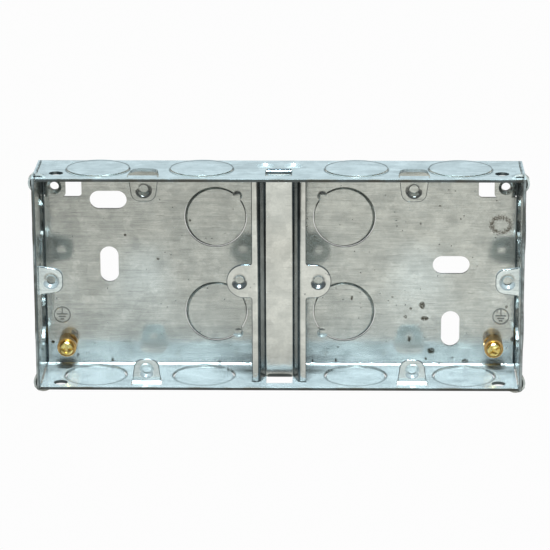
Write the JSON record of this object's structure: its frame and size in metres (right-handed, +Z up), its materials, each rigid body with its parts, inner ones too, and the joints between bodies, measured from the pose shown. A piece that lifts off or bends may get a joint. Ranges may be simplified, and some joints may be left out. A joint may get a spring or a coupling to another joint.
{
  "type": "flush back box",
  "caption": "Pressed steel flush back box for two single wiring accessories side by side, with a divider channel, knockouts, tapped lugs and earth terminals.",
  "frame": {"origin": "centre of the back's outer face, which goes against the wall", "axes": "+X along the two gangs, to the right in the picture; +Y into the wall, out of the back; +Z up"},
  "size_m": [0.158, 0.025, 0.0724],
  "materials": {
    "galvanised_sheet": "galvanised, semi-gloss",
    "post_brass": "turned, dull",
    "screw_brass": "bright"
  },
  "bodies": {
    "box": {"back_box": "galvanised_sheet", "divider_channel": "galvanised_sheet", "earth_post_left": "post_brass", "earth_post_right": "post_brass"},
    "clamp_left": {"earth_screw_left": "screw_brass"},
    "clamp_right": {"earth_screw_right": "screw_brass"}
  },
  "joints": [
    {"name": "clamp_left_travel", "type": "slide", "parent": "box", "child": "clamp_left", "axis": [0, 1, 0], "range_m": [0, 0.0034]},
    {"name": "clamp_right_travel", "type": "slide", "parent": "box", "child": "clamp_right", "axis": [0, 1, 0], "range_m": [0, 0.0034]}
  ]
}
